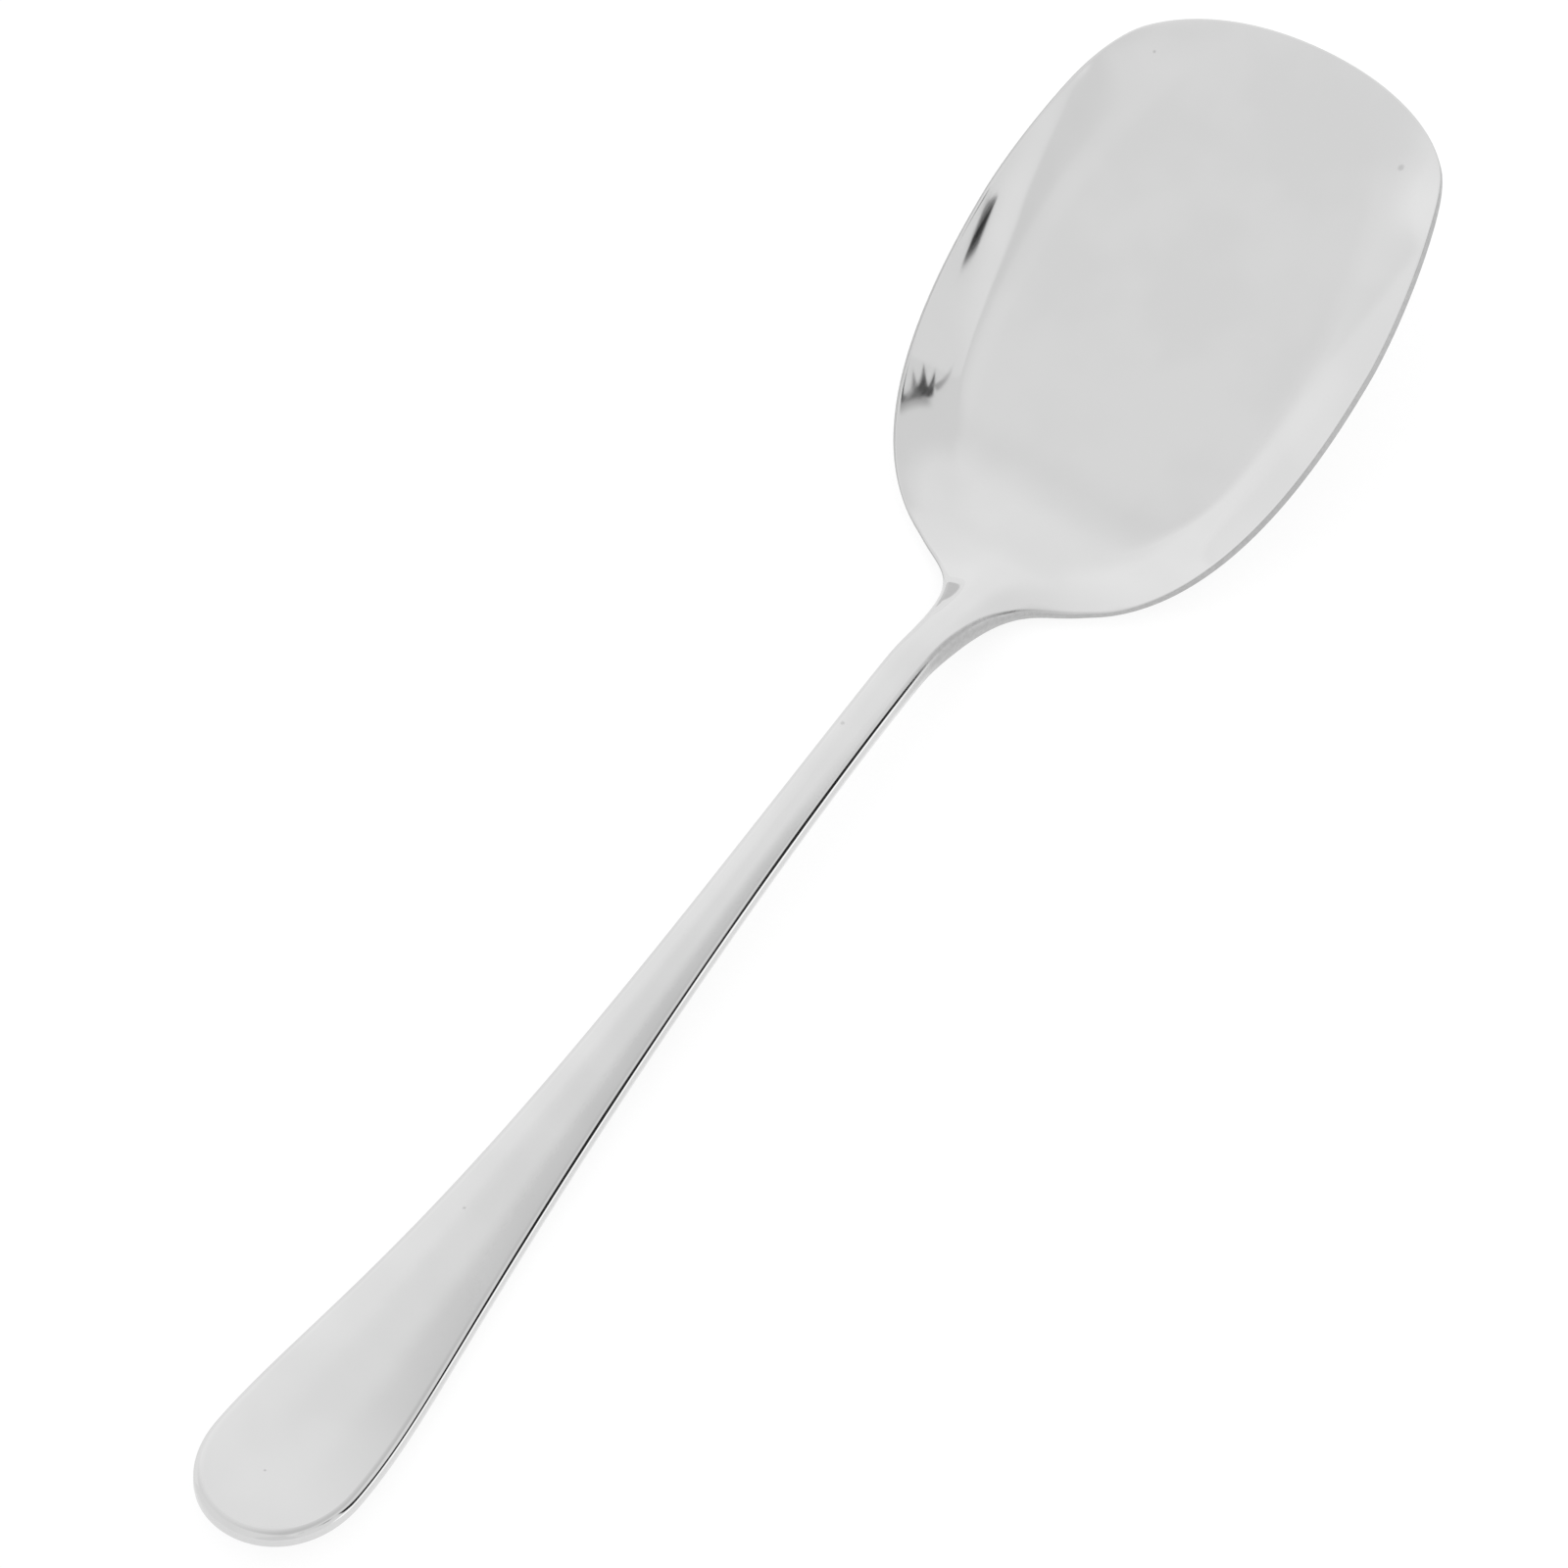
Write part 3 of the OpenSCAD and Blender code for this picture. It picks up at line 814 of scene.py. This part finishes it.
# Two wedges that open towards each other, without their closing sides, share a narrow diamond
slit = (0.03, wedge(-5.2, -34.5, -23.7, 18.5, 6)[:2] + wedge(0.3, -37, 156.3, 18.5, 6)[:2])
gathered_shade = (0.5, [(45, -7.2, 4), (225, 11.5, 1), (135, -35.6, 1.6), (315, 38.9, 1)])
gathered_core = (0.15, [(45, -10, 1.2), (225, 12.4, 1), (135, -35, 0.8), (315, 38.2, 0.8)])
folds = [(0.1, wedge(13, -38.2, 38.5, 13, 7.8)), (0.1, wedge(10.6, -35, 17.4, 9, 7.4)),
         (0.2, wedge(16.1, -39.5, 55.6, 6, 7.4)), (0.45, wedge(4.8, -30.6, -12, 5, 10))]
dark_line = (0.03, [(70, -22.5, 1), (227, 23, 1), (0, 46, 6), (270, 66, 4), (180, -25, 2)])
bright_line = (1.45, [(120, -71, 3), (300, 88, 3), (30, 30, 20), (210, 30, 20)])
PATCHES = [right_side, light_band, dim_side, grey_corner, seam_shade, panel, panel_glow, slit,
           gathered_shade, gathered_core, *folds, dark_line, bright_line]
print("tent:", len(RAMPS), "ramps and", len(PATCHES), "patches")

# %% [markdown]
# ## The light of the tent
# Each ramp is added to the cloth, and each patch is laid over what is there, as cloth is. A
# heading and a distance make a straight line on the chart, and a patch is the place that lies
# inside all of its lines. The camera itself sees plain white behind the paper.

# %% The tent as light
light = CLOTH_LIGHT
for turn, start, end, change in RAMPS:
    reach = add_node(tree, "ShaderNodeVectorMath", {0: chart, 1: (*heading(turn), 0)},
                     operation="DOT_PRODUCT").outputs["Value"]
    ramp = add_node(tree, "ShaderNodeMapRange", between(reach, start, end, 0.0, change),
                    **SOFT).outputs[0]
    light = add_node(tree, "ShaderNodeMath", {0: light, 1: ramp}, operation="ADD").outputs[0]
for brightness, sides in PATCHES:
    inside = 1.0
    for turn, distance, softness in sides:
        reach = add_node(tree, "ShaderNodeVectorMath", {0: chart, 1: (*heading(turn), 0)},
                         operation="DOT_PRODUCT").outputs["Value"]
        side = add_node(tree, "ShaderNodeMapRange",
                        between(reach, distance + softness / 2, distance - softness / 2),
                        **SOFT).outputs[0]
        inside = add_node(tree, "ShaderNodeMath", {0: inside, 1: side},
                          operation="MULTIPLY").outputs[0]
    light = add_node(tree, "ShaderNodeMix",
                     {"Factor": inside, "A": light, "B": brightness}).outputs[0]
seen = add_node(tree, "ShaderNodeLightPath").outputs["Is Camera Ray"]
light = add_node(tree, "ShaderNodeMix", {"Factor": seen, "A": light, "B": 1.0}).outputs[0]
background = add_node(tree, "ShaderNodeBackground", {"Color": WHITE, "Strength": light})
add_node(tree, "ShaderNodeOutputWorld", {"Surface": background.outputs[0]})
print("tent:", len(tree.nodes), "nodes")

# %% [markdown]
# ## The camera
# A long lens looks down on the spatula from behind its right side, as a photographer does who
# wants little distortion. It could be aimed by hand, but the tilt, the turn and the distance
# here are those that lay the outline of this model on the outline of the real spatula.

# %% The camera
TILT, YAW = math.radians(36.3782), math.radians(57.2532)
TARGET = Vector((-0.000125, 0, 0.010156))
FROM_TARGET = Vector((-0.0026416, -0.0006535, 0.9273479))     # right, up and back, in metres
SENSOR_W = 36                                                 # millimetres
FIELD_OF_VIEW = math.radians(12)
turned = Matrix.Rotation(-YAW, 3, "Z") @ Matrix.Rotation(TILT, 3, "X")
camera_data = bpy.data.cameras.new("camera")
camera_data.sensor_width = SENSOR_W
camera_data.lens = SENSOR_W / 2 / math.tan(FIELD_OF_VIEW / 2)
camera_data.clip_start, camera_data.clip_end = 0.05, 20
camera = bpy.data.objects.new("camera", camera_data)
bpy.context.scene.collection.objects.link(camera)
camera.matrix_world = Matrix.Translation(TARGET + turned @ FROM_TARGET) @ turned.to_4x4()
bpy.context.scene.camera = camera
bpy.context.scene.view_settings.view_transform = "Standard"
print("camera", round((camera.matrix_world.translation - TARGET).length, 3), "m away")
